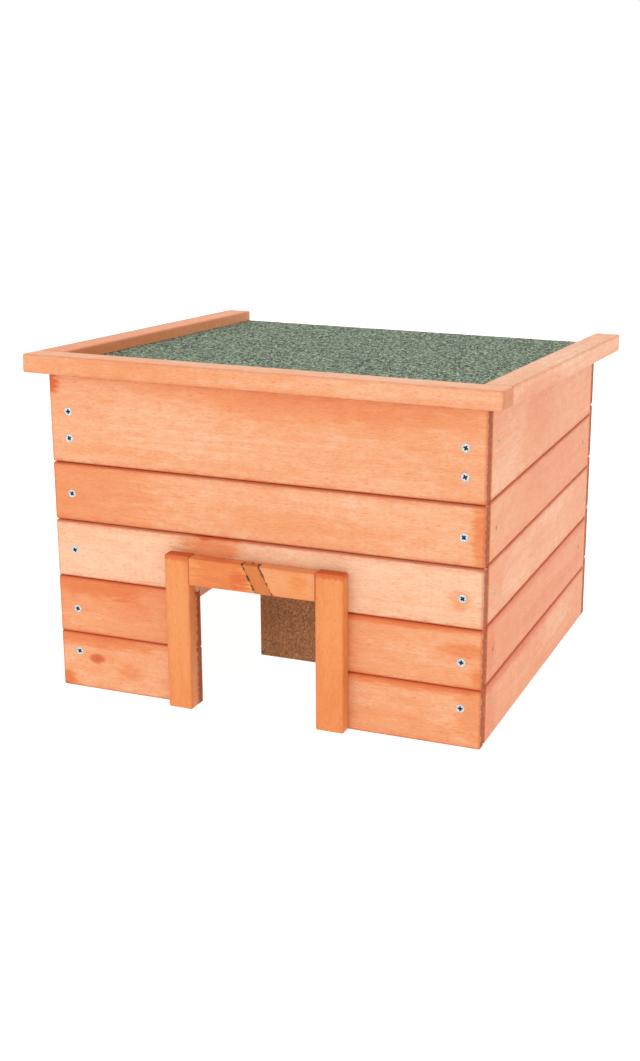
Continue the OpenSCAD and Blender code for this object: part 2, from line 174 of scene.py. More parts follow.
class Graph:
    """A node tree, with one way to add any node."""

    def __init__(self, tree):
        self.tree = tree

    def node(self, kind, settings=None, inputs=None):
        node = self.tree.nodes.new(kind)
        for key, value in (settings or {}).items():
            setattr(node, key, value)
        for key, value in (inputs or {}).items():
            self.feed(node.inputs[key], value)
        return node

    def out(self, kind, settings=None, inputs=None, output=0):
        return Wire(self, self.node(kind, settings, inputs).outputs[output])

    def feed(self, socket, value):
        if isinstance(value, Wire):
            self.tree.links.new(value.socket, socket)
        else:
            socket.default_value = value

    def math(self, operation, first, second):
        return self.out("ShaderNodeMath", {"operation": operation}, {0: first, 1: second})

    def vector(self, operation, first, second, output=0):
        return self.out("ShaderNodeVectorMath", {"operation": operation}, {0: first, 1: second}, output)

    def xyz(self, x, y, z):
        return self.out("ShaderNodeCombineXYZ", None, {0: x, 1: y, 2: z})

    def split(self, vector):
        node = self.node("ShaderNodeSeparateXYZ", None, {0: vector})
        return [Wire(self, output) for output in node.outputs]

    def ease(self, value, low, high, to_low=0.0, to_high=1.0, kind="SMOOTHSTEP"):
        """value taken from low..high to to_low..to_high, and held at both ends."""
        inputs = {"Value": value, "From Min": low, "From Max": high, "To Min": to_low, "To Max": to_high}
        return self.out("ShaderNodeMapRange", {"interpolation_type": kind}, inputs)

    def through(self, t, stops):
        """A value that runs straight between stops of (t, value)."""
        total = stops[0][1]
        for (t0, v0), (t1, v1) in zip(stops, stops[1:]):
            total = total + self.ease(t, t0, t1, 0.0, v1 - v0, "LINEAR")
        return total

    def noise(self, vector, scale, detail=3.0, roughness=0.5, distortion=0.0, output=0):
        inputs = {"Vector": vector, "Scale": scale, "Detail": detail,
                  "Roughness": roughness, "Distortion": distortion}
        return self.out("ShaderNodeTexNoise", None, inputs, output)

    def mix(self, factor, first, second):
        """A colour between first and second."""
        return self.out("ShaderNodeMix", {"data_type": "RGBA"}, {0: factor, 6: first, 7: second}, 2)


def least(first, second):
    return first.graph.math("MINIMUM", first, second)


def most(first, second):
    return first.graph.math("MAXIMUM", first, second)


print("wires and graphs ready")

# %% Geometry trees that become plain meshes
def geometry_group(name, inputs):
    """A new geometry tree with named inputs. Returns its graph and a wire for each input."""
    tree = bpy.data.node_groups.new(name, "GeometryNodeTree")
    for label, kind, default in inputs:
        socket = tree.interface.new_socket(label, in_out="INPUT", socket_type="NodeSocket" + kind)
        if default is not None:
            socket.default_value = default
    tree.interface.new_socket("Geometry", in_out="OUTPUT", socket_type="NodeSocketGeometry")
    graph = Graph(tree)
    entry = graph.node("NodeGroupInput")
    return graph, {socket.name: Wire(graph, socket) for socket in entry.outputs if socket.name}


def finish_group(graph, geometry, material):
    """Realizes the instances, sets the material and closes the tree."""
    realized = graph.out("GeometryNodeRealizeInstances", None, {"Geometry": geometry})
    painted = graph.out("GeometryNodeSetMaterial", None, {"Geometry": realized, "Material": material})
    graph.node("NodeGroupOutput", None, {"Geometry": painted})
    return graph.tree


def make_piece(name, tree, values, source=None):
    """Runs a geometry tree once and keeps what it makes as a plain mesh object."""
    mesh = source or bpy.data.meshes.new(name)
    piece = bpy.data.objects.new(name, mesh)
    bpy.context.scene.collection.objects.link(piece)
    modifier = piece.modifiers.new("shape", "NODES")
    modifier.node_group = tree
    for item in tree.interface.items_tree:
        if item.in_out == "INPUT" and item.name in values:
            modifier[item.identifier] = values[item.name]
    piece.update_tag()
    depsgraph = bpy.context.evaluated_depsgraph_get()
    made = bpy.data.meshes.new_from_object(piece.evaluated_get(depsgraph), preserve_all_data_layers=True,
                                           depsgraph=depsgraph)
    piece.modifiers.clear()
    piece.data = made
    made.name = name
    made.materials.clear()
    made.materials.append(values["Material"])
    made.polygons.foreach_set("material_index", [0] * len(made.polygons))
    return piece


def triangles(*pieces):
    return sum(len(face.vertices) - 2 for piece in pieces for face in piece.data.polygons)


def crisp(graph, geometry, sharp_angle=35.0):
    """Smooth shading with edges sharper than sharp_angle kept as creases."""
    smooth = graph.out("GeometryNodeSetShadeSmooth", {"domain": "FACE"}, {"Geometry": geometry})
    angle = graph.out("GeometryNodeInputMeshEdgeAngle")
    inputs = {"Geometry": smooth, "Selection": angle > math.radians(sharp_angle), "Shade Smooth": False}
    return graph.out("GeometryNodeSetShadeSmooth", {"domain": "EDGE"}, inputs)


print("geometry helpers ready")

# %% [markdown]
# ## Colours
#
# Colours are written as they look on a screen, from 0 to 255, and turned into the linear values that
# materials need. The timber is dipped in an orange stain: pale where the wood is dense, deep where it
# drinks, and nearly brown in the joints where the stain gathers.

# %% Colour helper
def rgb(red, green, blue):
    """A screen colour as a linear one, with alpha 1."""
    def linear(value):
        value /= 255
        return value / 12.92 if value <= 0.04045 else ((value + 0.055) / 1.055) ** 2.4
    return (linear(red), linear(green), linear(blue), 1.0)


PALE = rgb(230, 186, 152)
STAINED = rgb(223, 149, 102)
DEEP = rgb(214, 120, 70)
GATHERED = rgb(196, 88, 46)
JOINT = rgb(192, 82, 38)
END_GRAIN = rgb(138, 68, 38)
print("stain, linear:", [round(v, 3) for v in STAINED])

# %% [markdown]
# ## The stained timber
#
# Real boards differ because each is cut from another place in the log. So the pattern isn't painted on
# the house as a whole: each board carries its own coordinates, with x along the grain, y through its
# thickness and z across its width, and a seed that moves it to another part of the pattern. The grain is
# noise stretched along x at several scales. Stain gathers along the long edges and in the end grain, and
# a few boards have a knot.

# %% Board coordinates in a material
# Some of these places are painted shade under the roof's front rim rather than stain.
STAIN_AND_SHADE_PLACES = (1, 2, 3)      # each board may carry up to three places where the stain took more or less


def material_graph(name):
    """A new material with one Principled shader. Returns material, graph and the shader node."""
    material = bpy.data.materials.new(name)
    material.use_nodes = True
    graph = Graph(material.node_tree)
    return material, graph, material.node_tree.nodes["Principled BSDF"]


def attribute(graph, name):
    """A named attribute of the mesh, as a vector."""
    return graph.out("ShaderNodeAttribute", {"attribute_name": name}, output=1)


def object_place(graph):
    """A point's place in its object's own coordinates."""
    return graph.out("ShaderNodeTexCoord", output=3)


def coat(graph, shader, colour, roughness, relief=None):
    """Puts a finish's colour, roughness and bump on its shader."""
    graph.feed(shader.inputs["Base Color"], colour)
    graph.feed(shader.inputs["Roughness"], roughness)
    if relief:
        graph.feed(shader.inputs["Normal"], relief)


def stained_wood(name, palette, gather=1.0, roughness=0.42):
    """Softwood in a stain.

    palette holds the pale, middle, deep, gathered and joint colours, and gather says how much of the
    stain collects along the edges."""
    pale, middle, deep, gathered, joint = palette
    material, g, shader = material_graph(name)
    place = attribute(g, "board_place")
    x, y, z = g.split(place)
    length, depth, height = g.split(attribute(g, "board_size"))
    seed, tone, patchy = g.split(attribute(g, "board_look"))
    knot_x, knot_z, knot_r = g.split(attribute(g, "board_knot"))
    moved = g.vector("ADD", place, g.xyz(seed * 3.1, seed * 1.7, seed * 2.3))
    along = g.split(moved)

    def stretched(lengthways, across):
        return g.xyz(along[0] * lengthways, along[1] * across, along[2] * across)

    # The knot bends the grain round it, so its distance comes first.
    off_x = (x - knot_x) * 0.62
    off_z = z - knot_z
    ripple = g.noise(stretched(60, 90), 1.0, 2.0) - 0.5
    knot_far = (off_x * off_x + off_z * off_z) ** 0.5 / knot_r + ripple * 0.9
    knot = g.ease(knot_far, 1.25, 0.55)
    bent = g.ease(knot_far, 3.0, 0.8) * 0.9

    clouds = g.noise(stretched(9, 26), 1.0, 3.0, 0.55, 0.4) - 0.5
    bands = g.noise(stretched(5, 210), 1.0, 3.0, 0.6, 0.3) - 0.5 + bent * 0.2
    streaks = g.noise(stretched(70, 900), 1.0, 4.0, 0.65) - 0.5
    fibres = g.noise(stretched(260, 2200), 1.0, 2.0, 0.6) - 0.5
    ragged = g.noise(stretched(45, 300), 1.0, 3.0, 0.6)
    mottle = g.noise(stretched(50, 130), 1.0, 2.0, 0.6) - 0.5
    stain_and_shade_depth = tone + clouds * patchy + bands * 0.4 + mottle * 0.45 + streaks * 0.55 + fibres * 0.65
    # Places where the stain took more or less; two on the top front board are painted shade under the rim.
    for number in STAIN_AND_SHADE_PLACES:
        stain_or_shade_x, stain_or_shade_z, strength = g.split(attribute(g, f"board_stain_{number}"))
        half_x, half_z, _ = g.split(attribute(g, f"board_spread_{number}"))
        away_x, away_z = (x - stain_or_shade_x) / half_x, (z - stain_or_shade_z) / half_z
        away = (away_x * away_x + away_z * away_z) ** 0.5
        away = away + (ragged - 0.5) * 2.0 + bands * 0.8 + streaks * 0.7
        stain_and_shade_depth = stain_and_shade_depth + g.ease(away, 1.35, 0.5) * strength
    colour = g.mix(g.ease(stain_and_shade_depth, 0.0, 0.5, kind="LINEAR"), pale, middle)
    colour = g.mix(g.ease(stain_and_shade_depth, 0.5, 1.05, kind="LINEAR"), colour, deep)
    colour = g.mix(g.ease(stain_and_shade_depth, 1.05, 1.8, kind="LINEAR"), colour, gathered)

    flecks = g.ease(g.noise(stretched(170, 1300), 1.0, 2.0, 0.7), 0.55, 0.68)
    colour = g.mix(flecks * 0.45, colour, gathered)

    # Stain gathers in a ragged band along both long edges and at both ends.
    edge = most(least(z, height - z), least(y, depth - y))
    band = g.ease(edge, 7.0 * MM, 1.0 * MM) * g.ease(ragged, 0.4, 0.62)
    colour = g.mix(band * 0.4 * gather, colour, gathered)
    ends = least(x, length - x)
    colour = g.mix(g.ease(ends, 3.0 * MM, 0.4 * MM) * 0.5 * gather, colour, gathered)
    arris = g.ease(edge + ragged * 0.9 * MM, 2.9 * MM, 0.9 * MM)
    colour = g.mix(arris * 0.78 * gather, colour, joint)
    off_line = edge - 2.3 * MM
    broken = g.ease(g.noise(stretched(150, 20), 1.0, 2.0), 0.5, 0.6)
    dashes = g.ease(off_line * off_line, 0.09e-6, 0.01e-6) * broken
    colour = g.mix(dashes * 0.55 * gather, colour, joint)

    pores = g.ease(g.noise(g.vector("MULTIPLY", moved, (50, 1500, 1500)), 1.0, 3.0), 0.5, 0.7)
    end_grain = g.ease(ends, 0.35 * MM, 0.1 * MM)
    colour = g.mix(end_grain * (0.7 + pores * 0.28) * gather, colour, END_GRAIN)
    # Pale broken dashes on the end grain along its front and back arrises.
    patches = g.ease(g.noise(g.vector("MULTIPLY", moved, (50, 60, 240)), 1.0, 2.0), 0.46, 0.56)
    pale_arris_dashes = patches * g.ease(least(y, depth - y), 2.4 * MM, 1.4 * MM)
    colour = g.mix(end_grain * pale_arris_dashes * 0.45 * gather, colour, pale)
    colour = g.mix(knot * 0.85, colour, gathered)
    heart = g.ease(knot_far, 0.4, 0.15)
    colour = g.mix(heart * 0.6, colour, joint)

    relief = streaks * 0.5 + fibres * 0.5 - flecks * 0.4
    bump = g.out("ShaderNodeBump", None, {"Strength": 0.22, "Distance": 0.12 * MM, "Height": relief})
    shader.inputs["Specular IOR Level"].default_value = 0.2
    coat(g, shader, colour, roughness + streaks * 0.22 + flecks * 0.15 + end_grain * 0.35, bump)
    return material


WALL_WOOD = stained_wood("stained_wall_boards", (PALE, STAINED, DEEP, GATHERED, JOINT))
FRAME_WOOD = stained_wood("stained_door_frame",
                          (STAINED, rgb(221, 140, 80), rgb(208, 104, 54), GATHERED, JOINT), gather=0.3)
PLUG_WOOD = stained_wood("stained_plug", (rgb(222, 144, 88), rgb(206, 122, 62), rgb(172, 92, 42),
                                          GATHERED, JOINT), gather=0.2)
RIM_WOOD = stained_wood("stained_roof_rims", (PALE, STAINED, DEEP, GATHERED, JOINT), gather=0.3)
BARE_WOOD = stained_wood("bare_softwood", (rgb(222, 196, 158), rgb(208, 170, 128), rgb(186, 140, 96),
                                           rgb(170, 124, 80), rgb(124, 86, 54)), gather=0.3, roughness=0.6)
print("timber materials:", [m.name for m in (WALL_WOOD, FRAME_WOOD, PLUG_WOOD, RIM_WOOD, BARE_WOOD)])

# %% [markdown]
# ## One tree that saws every board
#
# All the timber is rectangular stock with eased edges, so one geometry tree makes every piece from its
# length, depth and height. It starts from a cube whose rows of points are moved: close together at the
# eased edges, far apart between them. A point near an edge is pulled onto a quarter circle, the far end
# may be lower than the near one for the tapering top boards, and slow noise keeps the faces from being
# perfectly flat. Screw holes are cut last, and the board's own coordinates are stored for the material.

# %% The timber tree
ROWS = (34, 9, 14)          # rows of faces along the length, the depth and the height
EASED_ROWS = (2, 3, 3)      # of these, how many round off each edge
SUPPORT = 0.7 * MM          # a narrow row beside each rounding keeps the flat faces flat


def timber_tree():
    """The tree that saws a board from its sizes, cuts its holes and stores its own coordinates."""
    g, given = geometry_group("timber", [
        ("Length", "Float", 0.4), ("Depth", "Float", 0.01), ("Height", "Float", 0.05),
        ("Far height", "Float", 0.05), ("End easing", "Float", 1.2 * MM), ("Edge easing", "Float", 2.2 * MM),
        ("Lean", "Float", 0.0), ("Waviness", "Float", 0.15 * MM), ("Seed", "Float", 0.0),
        ("Look", "Vector", None), ("Knot", "Vector", None), ("Place", "Vector", None),
        ("Turn", "Vector", None), ("Holes", "Object", None), ("Material", "Material", None),
        *((f"{what} {number}", "Vector", None) for number in STAIN_AND_SHADE_PLACES for what in ("Stain", "Spread")),
    ])
    counts = {f"Vertices {axis}": rows + 1 for axis, rows in zip("XYZ", ROWS)}
    block = g.out("GeometryNodeMeshCube", None, {"Size": (1.0, 1.0, 1.0), **counts})
    cube_place = g.split(g.out("GeometryNodeInputPosition"))
    sizes = [given["Length"], given["Depth"], given["Height"]]
    easings = [given["End easing"], given["Edge easing"], given["Edge easing"]]
    spaced = []
    for t, rows, eased, size, ease in zip(cube_place, ROWS, EASED_ROWS, sizes, easings):
        spaced.append(g.through((t + 0.5) * rows, [
            (0, 0.0), (eased, ease), (eased + 1, ease + SUPPORT), (rows - eased - 1, size - ease - SUPPORT),
            (rows - eased, size - ease), (rows, size)]))
    spot = g.xyz(*spaced)
    radii = g.xyz(*easings)
    inner = g.vector("MINIMUM", g.vector("MAXIMUM", spot, radii), g.vector("SUBTRACT", g.xyz(*sizes), radii))
    out = g.vector("DIVIDE", g.vector("SUBTRACT", spot, inner), radii)
    eased_spot = g.vector("ADD", inner, g.vector("MULTIPLY", g.vector("NORMALIZE", out, (0, 0, 0)), radii))

    x, y, z = g.split(eased_spot)
    taper = 1 + (given["Far height"] / given["Height"] - 1) * (x / given["Length"])
    leaning = g.xyz(x + given["Lean"] * z / given["Height"], y, z * taper)
    seeded = g.vector("ADD", leaning, g.xyz(given["Seed"] * 1.3, given["Seed"] * 0.7, given["Seed"]))
    wander = g.noise(seeded, 14.0, 1.0, output=1)
    waves = g.xyz(0.0, given["Waviness"], given["Waviness"])
    shift = g.vector("MULTIPLY", g.vector("SUBTRACT", wander, (0.5, 0.5, 0.5)), waves)
    board = g.out("GeometryNodeSetPosition", None,
                  {"Geometry": block, "Position": g.vector("ADD", leaning, shift)})

    turn = g.out("FunctionNodeEulerToRotation", None, {0: given["Turn"]})
    placed = g.out("GeometryNodeTransform", None,
                   {"Geometry": board, "Translation": given["Place"], "Rotation": turn})
    holes = g.out("GeometryNodeObjectInfo", {"transform_space": "ORIGINAL"}, {"Object": given["Holes"]}, 4)
    drilled = g.out("GeometryNodeMeshBoolean", {"operation": "DIFFERENCE", "solver": "EXACT"},
                    {"Mesh 1": placed, "Mesh 2": holes})

    there = g.out("FunctionNodeCombineTransform", None, {"Translation": given["Place"], "Rotation": turn})
    back = g.out("FunctionNodeInvertMatrix", None, {"Matrix": there})
    own = g.out("FunctionNodeTransformPoint", None,
                {"Vector": g.out("GeometryNodeInputPosition"), "Transform": back})
    own_x, own_y, own_z = g.split(own)
    height_here = given["Height"] + (given["Far height"] - given["Height"]) * (own_x / given["Length"])
    upright = g.xyz(own_x - given["Lean"] * own_z / given["Height"], own_y, own_z)
    kept = [("board_place", upright), ("board_size", g.xyz(given["Length"], given["Depth"], height_here)),
            ("board_look", given["Look"]), ("board_knot", given["Knot"])]
    for number in STAIN_AND_SHADE_PLACES:
        kept += [(f"board_stain_{number}", given[f"Stain {number}"]),
                 (f"board_spread_{number}", given[f"Spread {number}"])]
    stored = drilled
    for label, value in kept:
        stored = g.out("GeometryNodeStoreNamedAttribute", {"data_type": "FLOAT_VECTOR", "domain": "POINT"},
                       {"Geometry": stored, "Name": label, "Value": value})
    return finish_group(g, crisp(g, stored), given["Material"])


TIMBER = timber_tree()
print("timber tree nodes:", len(TIMBER.nodes))

# %% Placing a board on its CAD node
QUARTER = math.pi / 2
# For each grain direction: the turn from board axes, which side of the box the board starts from in X,
# and which of the box's sizes are its length, depth and height.
GRAIN = {
    "x": (Matrix.Identity(3), 0, (0, 1, 2)),
    "y": (Matrix.Rotation(QUARTER, 3, "Z"), 1, (1, 0, 2)),
    "z": (Matrix.Rotation(-QUARTER, 3, "Y"), 1, (2, 1, 0)),
}
NO_KNOT = (-1.0, -1.0, 0.001)
SINK_SIDES = 24
SINK_MOUTH = 2 * MM         # a countersink's cutter stands this far out of the face
SINK_CONE = 0.02 * MM       # and narrows from this far above it, so that no two faces share a plane


def sinks(heads, outward, head_r, shank_r):
    """Countersinks for the fasteners whose heads lie in a board's box."""
    turn = Vector((0, 0, 1)).rotation_difference(Vector(outward)).to_matrix().to_4x4()
    profile = [(head_r, SINK_MOUTH), (head_r, SINK_CONE), (shank_r, shank_r - head_r)]
    circle = [(math.cos(a), math.sin(a)) for a in (math.tau * i / SINK_SIDES for i in range(SINK_SIDES))]

    def add(mesh, low, high):
        for head in heads:
            if all(low[i] - MM < head[i] < high[i] + MM for i in range(3)):
                place = Matrix.Translation(head) @ turn
                rings = [[mesh.verts.new(place @ Vector((r * x, r * y, z))) for x, y in circle]
                         for r, z in profile]
                mesh.faces.new(rings[0])
                mesh.faces.new(rings[-1][::-1])
                for upper, lower in zip(rings, rings[1:]):
                    for i in range(SINK_SIDES):
                        mesh.faces.new((upper[i - 1], lower[i - 1], lower[i], upper[i]))
    return add


def block(low, high, turn=LEVEL):
    """A plain block to be cut away, given in the turned frame."""
    def add(mesh, *_):
        place = turn.to_4x4() @ Matrix.Translation((low + high) / 2) @ Matrix.Diagonal((*(high - low), 1.0))
        bmesh.ops.create_cube(mesh, size=1.0, matrix=place)
    return add


def slab(outline, y0, y1):
    """A prism to be cut away: the (x, z) outline, from y0 back to y1."""
    def add(mesh, *_):
        near = [mesh.verts.new((x, y0, z)) for x, z in outline]
        far = [mesh.verts.new((x, y1, z)) for x, z in outline]
        mesh.faces.new(near)
        mesh.faces.new(reversed(far))
        for i in range(len(outline)):
            mesh.faces.new((near[i - 1], far[i - 1], far[i], near[i]))
    return add


def cutting_tool(cuts, low, high):
    """One object of all that is cut away from a board."""
    mesh = bmesh.new()
    for add in cuts:
        add(mesh, low, high)
    bmesh.ops.recalc_face_normals(mesh, faces=mesh.faces)
    data = bpy.data.meshes.new("cutter")
    mesh.to_mesh(data)
    mesh.free()
    tool = bpy.data.objects.new("cutter", data)
    bpy.context.scene.collection.objects.link(tool)
    return tool


def random_stains(seed, length, height):
    """Soft light and dark places of its own for a board."""
    draw = random.Random(seed)
    return [((draw.uniform(0.1, 0.9) * length, draw.uniform(0.0, 1.0) * height, draw.uniform(-0.2, 0.32)),
             (draw.uniform(0.1, 0.3) * length, draw.uniform(0.25, 0.7) * height, 0.0)) for _ in STAIN_AND_SHADE_PLACES]


def board(node, body, grain, material, seed, tone=0.45, patchy=0.5, knot=NO_KNOT, stains_and_shade=None, turn=LEVEL,
          far_height=None, edge=2.2, end=1.2, wave=0.15, lean=0.0, span=None, swell=0.0, cuts=()):
    """Saws one board in its CAD node's box and puts it in the node's place.

    knot is (along, up, radius) in metres from the board's own corner. Each of stains is a place where the
    stain took more or less, or where shade is painted, as (along, across, half length, half width, strength),
    in the house's own millimetres along the grain and across it.
    edge, end, wave and swell are in millimetres, and span gives the foot of a board that leans."""
    own_turn, side, order = GRAIN[grain]
    low, high = turned_box(node, turn)
    if span:
        low.x, high.x = span
    size = high - low
    length, depth, height = (size[i] for i in order)
    height += swell * MM
    corner = Vector((high.x if side else low.x, low.y, low.z))
    marks = random_stains(seed, length, height)
    if stains_and_shade is not None:
        marks = []
        for along, across, half_x, half_z, strength in stains_and_shade:
            place = {"x": (along, 0, across), "y": (0, along, across), "z": (across, 0, along)}[grain]
            own = own_turn.transposed() @ (Vector(place) * MM - corner)
            marks.append(((own.x, own.z, strength), (half_x * MM, half_z * MM, 0.0)))
    marks += [((0.0, 0.0, 0.0), (1.0, 1.0, 0.0))] * (len(STAIN_AND_SHADE_PLACES) - len(marks))
    marked = {}
    for number, (place, spread) in zip(STAIN_AND_SHADE_PLACES, marks):
        marked[f"Stain {number}"], marked[f"Spread {number}"] = place, spread
    tool = cutting_tool(cuts, *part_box(node)) if cuts else None
    piece = make_piece(node + "_timber", TIMBER, {
        "Length": length, "Depth": depth, "Height": height, "Far height": far_height or height,
        "End easing": end * MM, "Edge easing": edge * MM, "Lean": lean, "Waviness": wave * MM,
        "Seed": float(seed), "Look": (float(seed), tone, patchy), "Knot": knot,
        "Place": turn @ corner, "Turn": (turn @ own_turn).to_euler(), "Holes": tool, "Material": material,
        **marked})
    if tool:
        bpy.data.objects.remove(tool)
    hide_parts(node)
    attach(piece, body)
    return piece


print("ready to saw boards")

# %% [markdown]
# ## The walls
#
# Five courses of boards go round the house. The front boards run over the side walls' ends, and the two
# lowest are cut off at the doorway. A board's tone goes from 0, pale, to 1, deep: the middle front board
# is the palest and the lower left one the deepest. The top side boards taper with the roof. Where the
# stain took more than the tone says, or where shade is painted under the roof's front rim, a board names
# the place, and elsewhere the places are drawn at random.

# %% Front wall
SCREW_HEAD_R, SCREW_R = 3.8 * MM, 2.0 * MM
NAIL_HEAD_R, NAIL_R = 2.5 * MM, 0.8 * MM
SCREW_ROOM, NAIL_ROOM = 0.15 * MM, 0.1 * MM      # how much wider than its head a countersink is
front_cut = sinks(front_heads, FRONT, SCREW_HEAD_R + SCREW_ROOM, SCREW_R)
rear_cut = sinks(rear_heads, REAR, SCREW_HEAD_R + SCREW_ROOM, SCREW_R)

lintel_low, lintel_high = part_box("door_lintel")
middle_low, middle_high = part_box("front_board_middle")
notch = block(Vector((lintel_low.x, middle_low.y - 5 * MM, 0.0)),
              Vector((lintel_high.x, middle_high.y + 5 * MM, lintel_low.z + 2 * MM)))

TIGHT = {"edge": 1.5, "swell": 0.45}      # the lower joints are closed nearly shut
# For each board: its seed, its tone, how patchy it is, its fit, and its stains and painted shade.
FRONT_BOARDS = {
    "bottom_left": (11, 0.4, 0.5, TIGHT,
                    [(-165, 49, 60, 9, 0.6), (-196, 6, 9, 9, 0.8), (-130, 22, 12, 7, 0.3)]),
    "bottom_right": (12, 0.36, 0.45, TIGHT,
                     [(140, 52.5, 110, 6, 0.65), (120, 10, 70, 14, 0.16), (192, 30, 12, 24, 0.3)]),
    "lower_left": (13, 0.62, 0.4, TIGHT,
                   [(-160, 101, 60, 12, 0.5), (-175, 66, 24, 8, -0.12), (-125, 82, 18, 12, 0.2)]),
    "lower_right": (14, 0.5, 0.45, TIGHT,
                    [(190, 87, 26, 6, 0.42), (199, 63, 8, 11, 0.42), (120, 105, 100, 4, 0.6)]),
    "middle": (15, 0.12, 0.3, {},
               [(-46, 150, 30, 11, 0.7), (180, 130, 9, 9, 0.36), (-44, 160, 24, 3.5, 1.0)]),
    "upper": (16, 0.36, 0.4, {},
              [(-195, 190, 100, 70, 0.36), (197, 186, 8, 26, 0.6), (60, 176, 90, 14, 0.14)]),
    # The top board's first and last places are painted shade under the roof's front rim: a dark band along
    # its top edge and a dark corner at its left end.
    "top": (17, 0.38, 0.4, {},
            [(60, 284, 170, 16, 0.26), (-90, 256, 60, 30, -0.14), (-201, 288, 10, 14, 1.3)]),
}
KNOTS = {"bottom_left": (0.036, 0.03, 0.005), "middle": (0.148, 0.053, 0.0045)}
for course, (seed, tone, patchy, fit, stains_and_shade) in FRONT_BOARDS.items():
    cuts = [front_cut, notch] if course == "middle" else [front_cut]
    board("front_board_" + course, "house", "x", WALL_WOOD, seed, tone, patchy, KNOTS.get(course, NO_KNOT),
          stains_and_shade, cuts=cuts, **fit)

# %% Side and rear walls
COURSES = ("bottom", "lower", "middle", "upper", "top")
# The right wall's boards are deeper than the left's: painted shade on the side turned away from the key
# light.
SIDE_TONES = {"left": (0.5, 0.45, 0.4, 0.55, 0.45), "right": (0.62, 0.72, 0.52, 0.68, 0.54)}
SIDE_STAINS = {
    "right_board_bottom": [(-120, 52, 200, 8, 0.8), (60, 30, 60, 18, -0.2), (-165, 20, 20, 20, 0.3)],
    "right_board_lower": [(-170, 80, 14, 20, 0.4), (0, 104, 260, 6, 0.4), (40, 70, 120, 10, 0.2)],
}
FIRST_SEED = {"left": 30, "right": 40, "rear": 50}


def rear_end_height(node):
    """How tall a tapering side board is at its rear end."""
    points = points_of(node)
    end = points[points[:, 1] > points[:, 1].max() - 2 * MM]
    return float(end[:, 2].max() - points[:, 2].min())


for side, outward in (("left", LEFT), ("right", RIGHT)):
    nails = heads_of(side + "_wall_nails", outward)
    nail_cut = sinks(nails, outward, NAIL_HEAD_R + NAIL_ROOM, NAIL_R)
    for index, (course, tone) in enumerate(zip(COURSES, SIDE_TONES[side])):
        node = f"{side}_board_{course}"
        board(node, "house", "y", WALL_WOOD, FIRST_SEED[side] + index, tone, stains_and_shade=SIDE_STAINS.get(node),
              patchy=0.45, far_height=rear_end_height(node), cuts=[nail_cut])
for index, course in enumerate(COURSES):
    board(f"rear_board_{course}", "house", "x", WALL_WOOD, FIRST_SEED["rear"] + index,
          tone=0.42 + 0.06 * (index % 3), patchy=0.45, cuts=[rear_cut])

# %% [markdown]
# ## The doorway
#
# Two square posts stand on the ground and a lintel runs between them. The lintel has a piece let into it:
# a slanting plug that replaced a flaw, with glue squeezed out along its joints. The plug is sawn by the
# same tree, with its top leaning over its foot, and the lintel is cut to take it.

# %% Posts, lintel and plug
for side, seed, tone in (("left", 61, 0.54), ("right", 62, 0.6)):
    middle_x = sum(corner.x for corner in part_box(f"door_post_{side}")) / 2 / MM
    board(f"door_post_{side}", "house", "z", FRAME_WOOD, seed, tone, 0.35, edge=1.6, end=2.2, wave=0.2,
          stains_and_shade=[(143, middle_x, 4.5, 40, 0.6), (80, middle_x, 50, 10, -0.12)])

patch_points = points_of("lintel_patch")
patch_low, patch_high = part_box("lintel_patch")
foot_x = patch_points[patch_points[:, 2] < patch_low.z + 1 * MM, 0]
top_x = patch_points[patch_points[:, 2] > patch_high.z - 1 * MM, 0]
foot, top = [(float(row.min()), float(row.max())) for row in (foot_x, top_x)]


def slanted(grow, z0, z1):
    """The plug's outline, larger by grow on both sides, drawn on from z0 to z1."""
    def edge(a, b, z):
        return a + (b - a) * (z - patch_low.z) / (patch_high.z - patch_low.z)
    return [(edge(foot[0], top[0], z0) - grow, z0), (edge(foot[1], top[1], z0) + grow, z0),
            (edge(foot[1], top[1], z1) + grow, z1), (edge(foot[0], top[0], z1) - grow, z1)]


GLUE_GAP = 0.25 * MM
plug_seat = slab(slanted(GLUE_GAP, patch_low.z - 3 * MM, patch_high.z + 3 * MM),
                 patch_low.y - 3 * MM, patch_high.y)
board("door_lintel", "house", "x", FRAME_WOOD, 63, 0.26, 0.55, edge=1.2, end=0.3, wave=0.0, cuts=[plug_seat],
      stains_and_shade=[(-34, 128, 32, 40, 0.6), (41, 131, 9, 9, 0.45), (-14, 124, 9, 12, 0.3)])
plug = board("lintel_patch", "house", "x", PLUG_WOOD, 64, 0.62, 0.5, edge=0.5, end=0.3, wave=0.0,
             lean=top[0] - foot[0], span=foot, stains_and_shade=[])
# The plug is sawn across, but its grain runs up its longer side.
for name in ("board_place", "board_size"):
    for item in plug.data.attributes[name].data:
        item.vector = Vector(item.vector).zyx
print("the plug leans by, mm:", round((top[0] - foot[0]) / MM, 1))

# %% [markdown]
# Glue squeezes out of a joint as a ragged bead that breaks off in places. A geometry tree resamples each
# joint line, moves it a little, lets noise set the bead's thickness and sweeps a small circle along it.

# %% Glue beads
def glue_material():
    material, g, shader = material_graph("dried_glue")
    grain = g.noise(object_place(g), 900.0, 3.0)
    coat(g, shader, g.mix(grain, rgb(34, 26, 14), rgb(92, 70, 40)), 0.35 + grain * 0.3)
    return material


